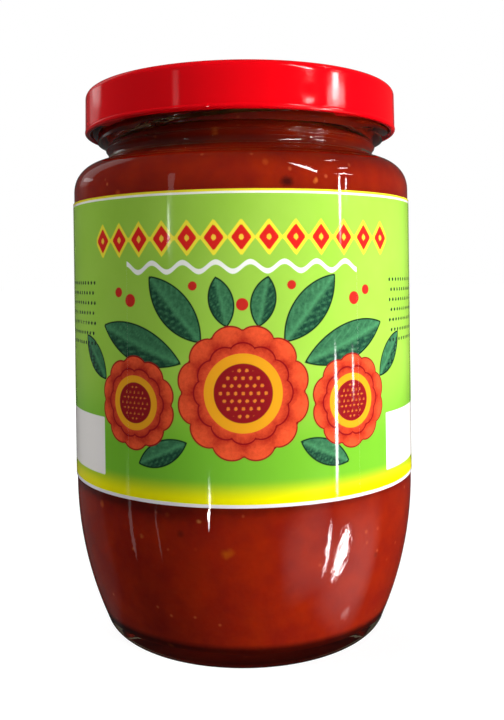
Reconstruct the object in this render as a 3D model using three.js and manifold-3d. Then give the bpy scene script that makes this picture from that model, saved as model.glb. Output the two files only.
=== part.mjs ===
// A round glass jar of fruit paste with a wrapped paper label and a pressed-steel twist-off lid.
// Millimetres, +Z up. The origin is the centre of the standing ring, and the middle of the label faces -Y.
// Angles round the jar are in degrees from -Y, growing counter-clockwise as seen from above.
import * as THREE from "three";
import { mergeVertices } from "three/addons/utils/BufferGeometryUtils.js";
import Module from "manifold-3d";

const wasm = await Module();
wasm.setup();

// ---- Driving dimensions of the jar ----
const BODY_RADIUS = 38.7; // outside of the straight body
const BARREL_ARC_RADIUS = 78; // the lower body draws in along this long arc
const HEEL_RADIUS = 3.5; // outside corner between the body and the base
const STANDING_OUTER = 28.9; // the flat ring that the jar stands on
const STANDING_INNER = 26.4;
const PUSH_UP = 2.5; // height of the hollow under the base, at its centre
const SHOULDER_START = 98.1; // height where the shoulder leaves the straight body
const SHOULDER_RADIUS = 6.6;
const SHOULDER_SWEEP = 76; // degrees of the shoulder's arc, which then runs on straight to the neck
const NECK_RADIUS = 30.8; // the narrowest place, just above the shoulder
const NECK_CORNER = 1.6; // outside, from the shoulder to the neck
const NECK_RING_RADIUS = 31.6; // a soft ring between the neck and the finish
const NECK_RING_Z = 107.9;
const FINISH_RADIUS = 33.2; // the wall that carries the threads
const FINISH_START = 109.6;
const RIM_TOP = 119.5;
const RIM_ROUND = 1.3; // rounding of the lip, inside and out
const BORE_RADIUS = 28.4;
const WALL = 2.4;
const NECK_FILLET = 4; // inside, from the bore to the shoulder
const INNER_HEEL = 4; // inside corner between the wall and the floor
const FLOOR_Z = 3.3; // inside floor at its edge
const FLOOR_DOME = 1.7; // rise of the floor over the push-up

// ---- Driving dimensions of the threads and the lid ----
const STARTS = 4; // thread beads on the jar, and lugs in the lid
const THREAD_LEAD = 14.65; // rise in one full turn
const THREAD_START = -45; // degrees, lower end of the first bead
const THREAD_SWEEP = 132; // degrees that one bead runs for
const THREAD_START_Z = 110.03; // middle of the bead at its lower end
const THREAD_CREST = 1.3; // how far a bead stands out of the finish wall
const THREAD_HALF_HEIGHT = 0.95; // at the finish wall
const LUG_CLOSED = 40; // degrees, middle of a lug on the closed jar
const LUG_SWEEP = 15;
const LUG_HALF_HEIGHT = 0.45;
const LUG_TIP_RADIUS = 33.65;
const LID_TOP = 121;
const LID_BOTTOM = 111.2;
const LID_RADIUS = 36.1; // outside of the rolled hem
const SKIRT_RADIUS = 35.93;
const STEEL = 0.25;
const HEM_RADIUS = 0.7; // half the thickness of the rolled hem
const LID_CORNER = 1.3;
const LINER_INNER = 30.3;
const LINER_OUTER = 34.6;
const CLEARANCE = 0.3; // between surfaces that move on each other

// ---- Driving dimensions of the label and the contents ----
const LABEL_BOTTOM = 34.7;
const LABEL_TOP = 95.4;
const LABEL_GAP = 0.1; // the glue
const LABEL_THICKNESS = 0.15;
const LABEL_HALF_WRAP = 160; // degrees each side of the front
const FILL_Z = 113.5;
const PASTE_GAP = 0.3; // between the paste and the glass

// ---- Facets ----
const SEGMENTS = 64;
const COARSE_SEGMENTS = 48;
const BEAD_STEPS = 18;
const LUG_STEPS = 4;

const { degToRad, radToDeg } = THREE.MathUtils;
const point = (r, z) => new THREE.Vector2(r, z);

// Points along an arc about (r, z), with angles in degrees above the outward direction.
function arc(r, z, radius, from, to, steps) {
  const points = [];
  for (let i = 0; i <= steps; i++) {
    const angle = degToRad(from + ((to - from) * i) / steps);
    points.push(point(r + radius * Math.cos(angle), z + radius * Math.sin(angle)));
  }
  return points;
}

// A profile of (radius, height) points turned about the Z axis.
function turned(profile, segments = SEGMENTS) {
  return new THREE.LatheGeometry(profile, segments).rotateX(Math.PI / 2);
}

// A closed geometry as a solid that can be joined to others.
function solidOf(geometry) {
  const bare = geometry.index ? geometry.toNonIndexed() : geometry.clone();
  bare.deleteAttribute("normal");
  bare.deleteAttribute("uv");
  const merged = mergeVertices(bare, 1e-4);
  const mesh = new wasm.Mesh({
    numProp: 3,
    vertProperties: merged.attributes.position.array,
    triVerts: new Uint32Array(merged.index.array),
  });
  return new wasm.Manifold(mesh);
}

function geometryOf(solid) {
  const mesh = solid.getMesh();
  const geometry = new THREE.BufferGeometry();
  geometry.setAttribute("position", new THREE.BufferAttribute(mesh.vertProperties, 3));
  geometry.setIndex(new THREE.BufferAttribute(mesh.triVerts, 1));
  geometry.computeVertexNormals();
  return geometry;
}

// A ridge round the Z axis through a list of {angle, ring}, where each ring is a loop of [radius, height].
function ridge(stations) {
  const count = stations[0].ring.length;
  const vertices = [];
  for (const { angle, ring } of stations) {
    const turn = degToRad(angle);
    for (const [r, z] of ring) {
      vertices.push(r * Math.sin(turn), -r * Math.cos(turn), z);
    }
  }
  const faces = [];
  for (let i = 0; i < stations.length - 1; i++) {
    for (let j = 0; j < count; j++) {
      const a = i * count + j;
      const b = i * count + ((j + 1) % count);
      faces.push(a, a + count, b, b, a + count, b + count);
    }
  }
  const last = (stations.length - 1) * count;
  for (let j = 1; j < count - 1; j++) {
    faces.push(0, j, j + 1);
    faces.push(last, last + j + 1, last + j);
  }
  const geometry = new THREE.BufferGeometry();
  geometry.setAttribute("position", new THREE.Float32BufferAttribute(vertices, 3));
  geometry.setIndex(faces);
  return geometry;
}

// ---- The barrel is a long arc, tangent to the straight body and to the heel ----
const barrelR = BODY_RADIUS - BARREL_ARC_RADIUS;
const barrelSweep = Math.acos((STANDING_OUTER - barrelR) / (BARREL_ARC_RADIUS - HEEL_RADIUS));
const barrelZ = HEEL_RADIUS + (BARREL_ARC_RADIUS - HEEL_RADIUS) * Math.sin(barrelSweep);
const shoulderR = BODY_RADIUS - SHOULDER_RADIUS;

// Outside of the glass, from the middle of the push-up to the top of the lip.
function glassOutside() {
  const sweep = degToRad(SHOULDER_SWEEP);
  const endR = shoulderR + SHOULDER_RADIUS * Math.cos(sweep);
  const endZ = SHOULDER_START + SHOULDER_RADIUS * Math.sin(sweep);
  const cornerR = NECK_RADIUS + NECK_CORNER;
  const rise = (endR - cornerR + NECK_CORNER * Math.cos(sweep)) / Math.tan(sweep);
  const cornerZ = endZ + rise + NECK_CORNER * Math.sin(sweep);
  const heelEnd = -radToDeg(barrelSweep);
  return [
    point(0, PUSH_UP),
    point(STANDING_INNER * 0.55, PUSH_UP * 0.85),
    point(STANDING_INNER * 0.85, PUSH_UP * 0.5),
    point(STANDING_INNER - 0.8, PUSH_UP * 0.2),
    point(STANDING_INNER, 0),
    ...arc(STANDING_OUTER, HEEL_RADIUS, HEEL_RADIUS, -90, heelEnd, 4),
    ...arc(barrelR, barrelZ, BARREL_ARC_RADIUS, heelEnd, 0, 6).slice(1),
    ...arc(shoulderR, SHOULDER_START, SHOULDER_RADIUS, 0, SHOULDER_SWEEP, 6),
    ...arc(cornerR, cornerZ, NECK_CORNER, 180 + SHOULDER_SWEEP, 180, 3),
    point(NECK_RING_RADIUS - 0.15, NECK_RING_Z - 0.5),
    point(NECK_RING_RADIUS, NECK_RING_Z),
    point(NECK_RING_RADIUS - 0.1, NECK_RING_Z + 0.4),
    point(NECK_RING_RADIUS - 0.3, NECK_RING_Z + 0.9),
    point(FINISH_RADIUS - 0.4, FINISH_START - 0.3),
    point(FINISH_RADIUS, FINISH_START),
    ...arc(FINISH_RADIUS - RIM_ROUND, RIM_TOP - RIM_ROUND, RIM_ROUND, 0, 90, 3),
  ];
}

// The cavity from the bore down to the middle of the floor, drawn in by a gap all over.
function cavity(gap) {
  const shoulder = SHOULDER_RADIUS - WALL - gap;
  const barrel = BARREL_ARC_RADIUS - WALL - gap;
  const heel = INNER_HEEL - gap;
  const fillet = NECK_FILLET + gap;
  const filletR = BORE_RADIUS + NECK_FILLET;
  const reach = shoulder + fillet;
  const lean = Math.acos((filletR - shoulderR) / reach);
  const filletZ = SHOULDER_START + reach * Math.sin(lean);
  const heelZ = FLOOR_Z + INNER_HEEL;
  const drop = Math.asin((heelZ - barrelZ) / (barrel - heel));
  const heelR = barrelR + (barrel - heel) * Math.cos(drop);
  const leanDegrees = radToDeg(lean);
  const dropDegrees = radToDeg(drop);
  const floor = FLOOR_Z + gap;
  return [
    ...arc(filletR, filletZ, fillet, 180, 180 + leanDegrees, 4),
    ...arc(shoulderR, SHOULDER_START, shoulder, leanDegrees, 0, 4).slice(1),
    ...arc(barrelR, barrelZ, barrel, 0, dropDegrees, 5),
    ...arc(heelR, heelZ, heel, dropDegrees, -90, 4).slice(1),
    point(heelR * 0.5, floor + FLOOR_DOME * 0.75),
    point(0, floor + FLOOR_DOME),
  ];
}

// Height of a bead's middle line, at an angle counted from the bead's own zero.
function beadHeight(angle) {
  return THREAD_START_Z + ((angle - THREAD_START) * THREAD_LEAD) / 360;
}

// A thread bead climbs with the helix and thins out at both ends. Its root is sunk into the finish wall.
function threadBead(turn) {
  const section = [
    [-0.4, -1],
    [0, -1],
    [0.7, -0.75],
    [1, -0.4],
    [1, 0.4],
    [0.7, 0.75],
    [0, 1],
    [-0.4, 1],
  ]; // shares of the crest, and of the half height
  const stations = [];
  for (let i = 0; i <= BEAD_STEPS; i++) {
    const angle = THREAD_START + (THREAD_SWEEP * i) / BEAD_STEPS;
    const fullness = Math.min(1, 0.3 + 0.35 * Math.min(i, BEAD_STEPS - i));
    const ring = section.map(([out, up]) => [
      FINISH_RADIUS + THREAD_CREST * (out < 0 ? out : out * fullness),
      beadHeight(angle) + THREAD_HALF_HEIGHT * up * (0.5 + 0.5 * fullness),
    ]);
    stations.push({ angle: angle + turn, ring });
  }
  return ridge(stations);
}

function glassJar() {
  const lip = arc(BORE_RADIUS + RIM_ROUND, RIM_TOP - RIM_ROUND, RIM_ROUND, 90, 180, 3);
  let solid = solidOf(turned([...glassOutside(), ...lip, ...cavity(0)]));
  for (let i = 0; i < STARTS; i++) {
    solid = solid.add(solidOf(threadBead((i * 360) / STARTS)));
  }
  return geometryOf(solid);
}

// The paste fills the jar up into the neck, under a small headspace.
function paste() {
  const bore = BORE_RADIUS - PASTE_GAP;
  const top = [point(0, FILL_Z), point(bore - 1, FILL_Z - 0.1), point(bore, FILL_Z - 0.8)];
  return turned([...top, ...cavity(PASTE_GAP)].reverse(), COARSE_SEGMENTS);
}

// A sheet of paper bent round the straight body, open at the back.
function label() {
  const inner = BODY_RADIUS + LABEL_GAP;
  const outer = inner + LABEL_THICKNESS;
  const start = degToRad(-90 - LABEL_HALF_WRAP);
  const end = degToRad(-90 + LABEL_HALF_WRAP);
  const shape = new THREE.Shape();
  shape.absarc(0, 0, outer, start, end, false);
  shape.absarc(0, 0, inner, end, start, true);
  const depth = LABEL_TOP - LABEL_BOTTOM;
  const sheet = new THREE.ExtrudeGeometry(shape, {
    depth,
    bevelEnabled: false,
    curveSegments: SEGMENTS,
  });
  return sheet.translate(0, 0, LABEL_BOTTOM);
}

// A lug is the hem pressed inwards over a short arc. It slopes with the bead that it hooks under.
function lug(turn) {
  const drop = THREAD_HALF_HEIGHT + CLEARANCE + LUG_HALF_HEIGHT;
  const root = SKIRT_RADIUS - STEEL;
  const section = [
    [LUG_TIP_RADIUS, -0.5],
    [LUG_TIP_RADIUS + 0.25, -1],
    [root - 0.1, -1],
    [root, -0.7],
    [root + 0.1, 1],
    [LUG_TIP_RADIUS + 0.25, 1],
    [LUG_TIP_RADIUS, 0.5],
  ]; // radius, and share of the half height
  const stations = [];
  for (let i = 0; i <= LUG_STEPS; i++) {
    const angle = LUG_CLOSED + LUG_SWEEP * (i / LUG_STEPS - 0.5);
    const setBack = i === 0 || i === LUG_STEPS ? 0.8 : 0; // the ends lean outwards
    const ring = section.map(([r, up]) => [
      Math.min(r + setBack, Math.max(r, root - 0.1)),
      beadHeight(angle) - drop + LUG_HALF_HEIGHT * up,
    ]);
    stations.push({ angle: angle + turn, ring });
  }
  return ridge(stations);
}

// The pressed shell: a recessed panel with a safety button, a raised rim, the skirt and its rolled hem.
function lidShell() {
  const panel = [
    [0, 1.1],
    [9.5, 1.1],
    [11, 0.8],
    [27.6, 0.8],
    [28.6, 0.5],
    [29.6, 0],
  ]; // radius, and depth below the rim
  const hemR = LID_RADIUS - HEM_RADIUS;
  const hemZ = LID_BOTTOM + HEM_RADIUS;
  const cornerR = SKIRT_RADIUS - LID_CORNER;
  const cornerZ = LID_TOP - LID_CORNER;
  const profile = [
    ...panel.map(([r, depth]) => point(r, LID_TOP - depth - STEEL)),
    ...arc(cornerR, cornerZ, LID_CORNER - STEEL, 90, 0, 4),
    point(SKIRT_RADIUS - STEEL, LID_BOTTOM + 2),
    ...arc(hemR, hemZ, HEM_RADIUS, 120, 400, 7),
    point(SKIRT_RADIUS, LID_BOTTOM + 2),
    ...arc(cornerR, cornerZ, LID_CORNER, 0, 90, 4),
    ...panel.reverse().map(([r, depth]) => point(r, LID_TOP - depth)),
  ];
  let solid = solidOf(turned(profile));
  for (let i = 0; i < STARTS; i++) {
    solid = solid.add(solidOf(lug((i * 360) / STARTS)));
  }
  return geometryOf(solid);
}

// The rubbery sealing ring that lies under the lid's raised rim.
function liner() {
  const bottom = RIM_TOP + CLEARANCE;
  const top = LID_TOP - STEEL - CLEARANCE;
  const profile = [
    point(LINER_INNER, bottom + 0.2),
    point(LINER_INNER + 0.5, bottom),
    point(LINER_OUTER - 0.8, bottom),
    point(LINER_OUTER, bottom + 0.2),
    point(LINER_OUTER, top - 0.3),
    point(LINER_OUTER - 0.5, top),
    point(LINER_INNER + 0.2, top),
    point(LINER_INNER, top - 0.2),
    point(LINER_INNER, bottom + 0.2),
  ];
  return turned(profile, COARSE_SEGMENTS);
}

function finish(color, roughness, metalness, opacity = 1) {
  const transparent = opacity < 1;
  return new THREE.MeshStandardMaterial({ color, roughness, metalness, opacity, transparent });
}

function piece(name, geometry, material) {
  const mesh = new THREE.Mesh(geometry, material);
  mesh.name = name;
  return mesh;
}

const jar = new THREE.Group();
jar.add(piece("glass_jar", glassJar(), finish(0xd8e2dc, 0.05, 0, 0.35)));
jar.add(piece("gac_paste", paste(), finish(0x8e1b0c, 0.35, 0)));
jar.add(piece("label", label(), finish(0x86bf3c, 0.3, 0)));
jar.add(piece("lid_shell", lidShell(), finish(0xd5060f, 0.25, 0.2)));
jar.add(piece("lid_liner", liner(), finish(0xe9e4d6, 0.6, 0)));

export default jar;
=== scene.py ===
"""A closed glass jar of gac fruit paste, with a printed paper label and a red lacquered twist-off lid.

Shapes are worked out in millimetres and put into the meshes in metres. Angles round the jar are in degrees
from the front (-Y), growing counter-clockwise as seen from above.
"""

import math
import bpy
import numpy as np
from mathutils import Matrix


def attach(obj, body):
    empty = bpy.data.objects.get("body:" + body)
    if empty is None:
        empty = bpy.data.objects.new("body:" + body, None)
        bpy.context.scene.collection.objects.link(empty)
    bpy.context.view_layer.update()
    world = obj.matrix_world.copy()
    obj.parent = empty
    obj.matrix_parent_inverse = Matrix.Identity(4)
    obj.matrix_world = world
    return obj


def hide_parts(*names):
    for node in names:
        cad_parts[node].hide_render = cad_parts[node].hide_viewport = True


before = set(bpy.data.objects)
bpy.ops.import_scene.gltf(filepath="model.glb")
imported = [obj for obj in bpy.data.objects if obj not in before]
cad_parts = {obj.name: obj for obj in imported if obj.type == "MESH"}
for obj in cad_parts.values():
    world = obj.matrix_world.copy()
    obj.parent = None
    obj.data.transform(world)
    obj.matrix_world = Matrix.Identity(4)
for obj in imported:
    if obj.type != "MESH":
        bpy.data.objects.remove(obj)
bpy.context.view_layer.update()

MM = 0.001

# ---- Sizes of the jar, in millimetres and degrees ----
BODY_RADIUS = 38.7
BARREL_ARC = 78.0
HEEL = 3.5
STANDING_OUTER, STANDING_INNER = 28.9, 26.4
PUSH_UP, PUSH_UP_POWER, PUSH_UP_MARGIN = 2.5, 2.6, 0.6
SHOULDER_START, SHOULDER_ARC, SHOULDER_SWEEP = 98.1, 6.6, 76.0
NECK_RADIUS, NECK_CORNER = 30.8, 1.6
NECK_RING_RADIUS, NECK_RING_Z, NECK_RING_HALF = 31.4, 107.9, 0.6
NECK_LEDGE, NECK_LEDGE_RISE = 0.25, 0.8
FINISH_RADIUS, FINISH_START, FINISH_FOOT, FINISH_RISE = 33.2, 109.6, 0.5, 1.4
RIM_TOP, RIM_ROUND, BORE_RADIUS = 119.5, 1.3, 28.4
WALL, NECK_FILLET, INNER_HEEL = 2.4, 4.0, 4.0
FLOOR_Z, FLOOR_DOME = 3.3, 1.7
NECK_STEP, BORE_STEP = 0.2, 1.0  # heights of the rows of faces on the neck and in the bore
DRY_BAND = 104.8, 107.5  # the paste has drawn off the glass between these heights, and wets it elsewhere
FILL_Z, PASTE_GAP = 113.5, 0.3

# ---- Sizes of the thread ----
STARTS, THREAD_LEAD = 4, 14.65
THREAD_START, THREAD_SWEEP, THREAD_START_Z = -45.0, 132.0, 110.03
THREAD_CREST, THREAD_HALF, THREAD_RUN_OUT = 1.3, 0.95, 12.0
THREAD_FOOT, THREAD_FLANK = 1.1, 0.75  # shares of THREAD_HALF: where a bead meets the wall, and its flank

# ---- Sizes of the lid and its sealing ring ----
LID_TOP, LID_BOTTOM, LID_RADIUS, SKIRT_RADIUS = 121.0, 111.2, 36.1, 35.9
STEEL, HEM, LID_CORNER, SKIRT_FLARE = 0.25, 0.7, 1.55, 0.1
PANEL_RADIUS, PANEL_DEPTH, PANEL_STEP = 29.6, 0.8, 2.0
BUTTON_RADIUS, BUTTON_DEPTH, BUTTON_STEP = 11.0, 0.3, 1.5
LUG_CLOSED, LUG_HALF_SWEEP, LUG_RUN_OUT = 40.0, 7.5, 2.4
LUG_DEPTH, LUG_BELOW_BEAD, LUG_REACH = 1.05, 1.7, 2.0
LINER_INNER, LINER_OUTER, LINER_CLEARANCE = 30.3, 34.6, 0.3

# ---- Sizes of the label ----
LABEL_BOTTOM, LABEL_TOP, LABEL_HALF_WRAP = 34.7, 95.4, 160.0
LABEL_RADIUS, PAPER, RIPPLE = 38.94, 0.12, 0.045

# The barrel's long arc is tangent to the straight body and to the heel.
barrel_r = BODY_RADIUS - BARREL_ARC
barrel_sweep = math.acos((STANDING_OUTER - barrel_r) / (BARREL_ARC - HEEL))
barrel_z = HEEL + (BARREL_ARC - HEEL) * math.sin(barrel_sweep)
shoulder_r = BODY_RADIUS - SHOULDER_ARC


# ---- Shapes ----
def arc(r, z, radius, start, end, steps):
    """Points on a circle: centre plus radius times (cosine, sine) of the angle, in degrees above outwards."""
    a = np.radians(np.linspace(start, end, steps))
    return np.column_stack([r + radius * np.cos(a), z + radius * np.sin(a)])


def ease(x):
    """The smooth step 3x squared minus 2x cubed, held between 0 and 1."""
    x = np.clip(x, 0, 1)
    return x * x * (3 - 2 * x)


def surface_of_revolution(profile, columns, shift=None):
    """Each profile point (r, z) becomes a ring (r sin a, -r cos a, z). shift(a, r, z) gives moved r and z."""
    a = np.linspace(0, 360, columns, endpoint=False)
    angle, r = np.meshgrid(a, profile[:, 0])
    z = np.repeat(profile[:, 1:2], columns, axis=1)
    if shift is not None:
        r, z = shift(angle, r, z)
    turn = np.radians(angle)
    return np.stack([r * np.sin(turn), -r * np.cos(turn), z], axis=-1)


def ring_mesh(name, grid, row_slots=None, closed=False):
    """A mesh of quads over a grid whose columns run round the axis. A row that lies on the axis becomes one
    point with a fan of triangles, and a closed grid joins its last row to its first. row_slots gives each
    row's material slot."""
    rows, columns = grid.shape[:2]
    on_axis = np.hypot(grid[:, 0, 0], grid[:, 0, 1]) < 1e-6
    first = np.concatenate([[0], np.cumsum(np.where(on_axis, 1, columns))])
    points = np.concatenate([g[:1] if pole else g for g, pole in zip(grid, on_axis)])
    here = np.arange(columns)
    after = (here + 1) % columns
    faces, slots = [], []
    for i in range(rows if closed else rows - 1):
        k = (i + 1) % rows
        a, b = first[i], first[k]
        if on_axis[i]:
            band = np.column_stack([np.full(columns, a), b + after, b + here])
        elif on_axis[k]:
            band = np.column_stack([a + here, a + after, np.full(columns, b)])
        else:
            band = np.column_stack([a + here, a + after, b + after, b + here])
        faces += band.tolist()
        slots += [0 if row_slots is None else int(row_slots[i])] * columns
    return mesh_object(name, points, faces, slots)


def mesh_object(name, points_mm, faces, slots, crease=38):
    """Points in millimetres and faces, as an object at the origin, smooth but for edges over crease
    degrees."""
    mesh = bpy.data.meshes.new(name)
    mesh.from_pydata((np.asarray(points_mm) * MM).tolist(), [], faces)
    mesh.polygons.foreach_set("material_index", slots)
    mesh.polygons.foreach_set("use_smooth", [True] * len(faces))
    mesh.set_sharp_from_angle(angle=math.radians(crease))
    mesh.update()
    made = bpy.data.objects.new(name, mesh)
    bpy.context.scene.collection.objects.link(made)
    return made


def thread_beads(angle, z):
    """How far the beads stand out of the finish wall. The distance to each bead's helix, over its half
    height, gives a rounded ridge, which eases away at both ends."""
    height = np.zeros_like(angle)
    for start in range(STARTS):
        along = (angle - THREAD_START - start * 360 / STARTS) % 360
        middle = THREAD_START_Z + along * THREAD_LEAD / 360
        ends = ease(np.minimum(along, THREAD_SWEEP - along) / THREAD_RUN_OUT)
        ridge = ease((THREAD_FOOT - np.abs(z - middle) / THREAD_HALF) / THREAD_FLANK)
        height = np.maximum(height, THREAD_CREST * ridge * np.where(along < THREAD_SWEEP, ends, 0))
    return height


def glass_outside():
    """The outside from the push-up to the lip, as arcs that meet tangent, cut into short even steps. The neck
    stands out by the greatest of three: a bell-shaped ring, a ledge above it and the finish's eased foot."""
    sweep = math.radians(SHOULDER_SWEEP)
    end_r = shoulder_r + SHOULDER_ARC * math.cos(sweep)
    end_z = SHOULDER_START + SHOULDER_ARC * math.sin(sweep)
    corner_r = NECK_RADIUS + NECK_CORNER
    rise = (end_r - corner_r + NECK_CORNER * math.cos(sweep)) / math.tan(sweep)
    corner_z = end_z + rise + NECK_CORNER * math.sin(sweep)
    heel_end = -math.degrees(barrel_sweep)
    r = np.linspace(0, STANDING_INNER - PUSH_UP_MARGIN, 14)
    under = np.column_stack([r, PUSH_UP * (1 - (r / STANDING_INNER) ** PUSH_UP_POWER)])
    body = np.concatenate([
        arc(STANDING_OUTER, HEEL, HEEL, -90, heel_end, 10),
        arc(barrel_r, barrel_z, BARREL_ARC, heel_end, 0, 22)[1:],
        arc(shoulder_r, SHOULDER_START, SHOULDER_ARC, 0, SHOULDER_SWEEP, 14),
        arc(corner_r, corner_z, NECK_CORNER, 180 + SHOULDER_SWEEP, 180, 8),
    ])
    z = np.arange(corner_z + NECK_STEP, FINISH_START, NECK_STEP)
    ring = (NECK_RING_RADIUS - NECK_RADIUS) * np.exp(-(((z - NECK_RING_Z) / NECK_RING_HALF) ** 2))
    ledge = NECK_LEDGE * ease((z - NECK_RING_Z + NECK_RING_HALF) / NECK_LEDGE_RISE)
    foot = (FINISH_RADIUS - NECK_RADIUS) * ease((z - NECK_RING_Z - FINISH_FOOT) / FINISH_RISE)
    neck = np.column_stack([NECK_RADIUS + np.maximum(np.maximum(ring, ledge), foot), z])
    wall_z = np.arange(FINISH_START, RIM_TOP - RIM_ROUND - NECK_STEP / 2, NECK_STEP)
    wall = np.column_stack([np.full_like(wall_z, FINISH_RADIUS), wall_z])
    lip = arc(FINISH_RADIUS - RIM_ROUND, RIM_TOP - RIM_ROUND, RIM_ROUND, 0, 90, 7)
    return np.concatenate([under, [[STANDING_INNER, 0]], body, neck, wall, lip])


def cavity(gap, steps):
    """The inside of the glass from the bore down to the floor. Every arc keeps its centre when gap draws it
    in, so the gap is the same all over."""
    shoulder, barrel = SHOULDER_ARC - WALL - gap, BARREL_ARC - WALL - gap
    heel, fillet = INNER_HEEL - gap, NECK_FILLET + gap
    fillet_r = BORE_RADIUS + NECK_FILLET
    reach = shoulder + fillet
    lean = math.acos((fillet_r - shoulder_r) / reach)
    fillet_z = SHOULDER_START + reach * math.sin(lean)
    drop = math.asin((FLOOR_Z + INNER_HEEL - barrel_z) / (barrel - heel))
    heel_r = barrel_r + (barrel - heel) * math.cos(drop)
    r = np.linspace(heel_r, 0, 12)[1:]
    return np.concatenate([
        arc(fillet_r, fillet_z, fillet, 180, 180 + math.degrees(lean), steps),
        arc(shoulder_r, SHOULDER_START, shoulder, math.degrees(lean), 0, steps)[1:],
        arc(barrel_r, barrel_z, barrel, 0, math.degrees(drop), steps * 2),
        arc(heel_r, FLOOR_Z + INNER_HEEL, heel, math.degrees(drop), -90, steps)[1:],
        np.column_stack([r, FLOOR_Z + gap + FLOOR_DOME * (1 - (r / heel_r) ** 2)]),
    ])


# ---- The glass jar ----
# Waves of blown glass: how many go round the jar, millimetres of height to a radian, strength and phase.
WAVES = [(3, 17, 1.0, 0.0), (7, -9, 1.0, 1.3), (13, 5, 0.6, 0.4)]
WAVE_DEPTH, WAVES_TOP = 0.012, SHOULDER_START + 2


def blown_glass(angle, r, z):
    """The beads stand on the finish wall. Elsewhere the outside sinks by up to 0.06 mm in long soft waves,
    the sum of three cosines of angle and height, as pressed and blown glass does."""
    outside = np.arange(len(r))[:, None] < glass_rows
    on_wall = outside & (np.abs(r - FINISH_RADIUS) < 0.01) & (z < RIM_TOP - RIM_ROUND)
    a = np.radians(angle)
    wave = sum(strength * np.cos(count * a + z / height + phase) for count, height, strength, phase in WAVES)
    highest = sum(row[2] for row in WAVES)
    side = outside & (z > HEEL) & (z < WAVES_TOP)
    sunk = np.where(side, WAVE_DEPTH * (highest - wave), 0)
    return r + np.where(on_wall, thread_beads(angle, z), 0) - sunk, z


outside_profile = glass_outside()
glass_rows = len(outside_profile)
inside_lip = arc(BORE_RADIUS + RIM_ROUND, RIM_TOP - RIM_ROUND, RIM_ROUND, 90, 180, 7)[1:]
hollow = cavity(0, 9)
bore_z = np.arange(RIM_TOP - RIM_ROUND - BORE_STEP, hollow[0, 1] + BORE_STEP, -BORE_STEP)
bore = np.column_stack([np.full_like(bore_z, BORE_RADIUS), bore_z])
glass_profile = np.concatenate([outside_profile, inside_lip, bore, hollow])
row_z = glass_profile[:, 1]
wetted = (row_z < DRY_BAND[0]) | ((row_z > DRY_BAND[1]) & (row_z < FILL_Z))
wetted &= np.arange(len(glass_profile)) >= glass_rows
jar_glass = ring_mesh("jar_glass", surface_of_revolution(glass_profile, 192, blown_glass), wetted)

# ---- The paste ----
# Its top is nearly flat and rounds down to the glass.
paste_top = [
    [0, FILL_Z],
    [14, FILL_Z - 0.05],
    [BORE_RADIUS - 1.4, FILL_Z - 0.1],
    [BORE_RADIUS - 0.6, FILL_Z - 0.35],
    [BORE_RADIUS - PASTE_GAP, FILL_Z - 1],
]
paste_profile = np.concatenate([paste_top, cavity(PASTE_GAP, 9)])[::-1]
jar_paste = ring_mesh("jar_paste", surface_of_revolution(paste_profile, 144))


# ---- The lid ----
def pressed_lid(angle, r, z):
    """The hem is pressed inwards at the four lugs. A point moves by how far inwards it sits on the hem, times
    an eased bump over the lug's width, and up or down with the thread's slope."""
    spacing = 360 / STARTS
    off = (angle - LUG_CLOSED + spacing / 2) % spacing - spacing / 2
    bump = ease((LUG_HALF_SWEEP - np.abs(off)) / LUG_RUN_OUT)
    on_hem = (z < LID_BOTTOM + 2 * HEM + STEEL) * (r > SKIRT_RADIUS - LUG_REACH)
    inner = ease((LID_RADIUS - HEM + STEEL - r) / HEM) * on_hem
    bead_z = THREAD_START_Z + (off + LUG_CLOSED - THREAD_START) * THREAD_LEAD / 360
    slope = bead_z - LUG_BELOW_BEAD - LID_BOTTOM - HEM
    return r - LUG_DEPTH * bump * inner, z + slope * bump * inner


def panel(r):
    """Depth of the lid's top below its rim: an eased step inside the rim and a shallow button in the
    middle."""
    step = PANEL_DEPTH * ease((PANEL_RADIUS - r) / PANEL_STEP)
    return step + BUTTON_DEPTH * ease((BUTTON_RADIUS - r) / BUTTON_STEP)


# Rows over the lid's top, close together where the button and the panel step down: from, to and how many.
TOP_ROWS = [(0, 8, 5), (9, 11.5, 9), (13, 27, 8), (27.4, 30, 12)]
SKIRT_ROWS, HEM_ROWS, LINED_HEM_ROWS = 8, 30, 6
HEM_START, HEM_END = 110, 398  # the hem's roll, in degrees above outwards
# Heights above the lid's bottom: where the skirt's rows start inside, and outside the ends of its close rows.
SKIRT_FOOT, CLOSE_START, CLOSE_END = 2.2, 1.15, 3.2
SKIRT_MARGIN = 0.3


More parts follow.
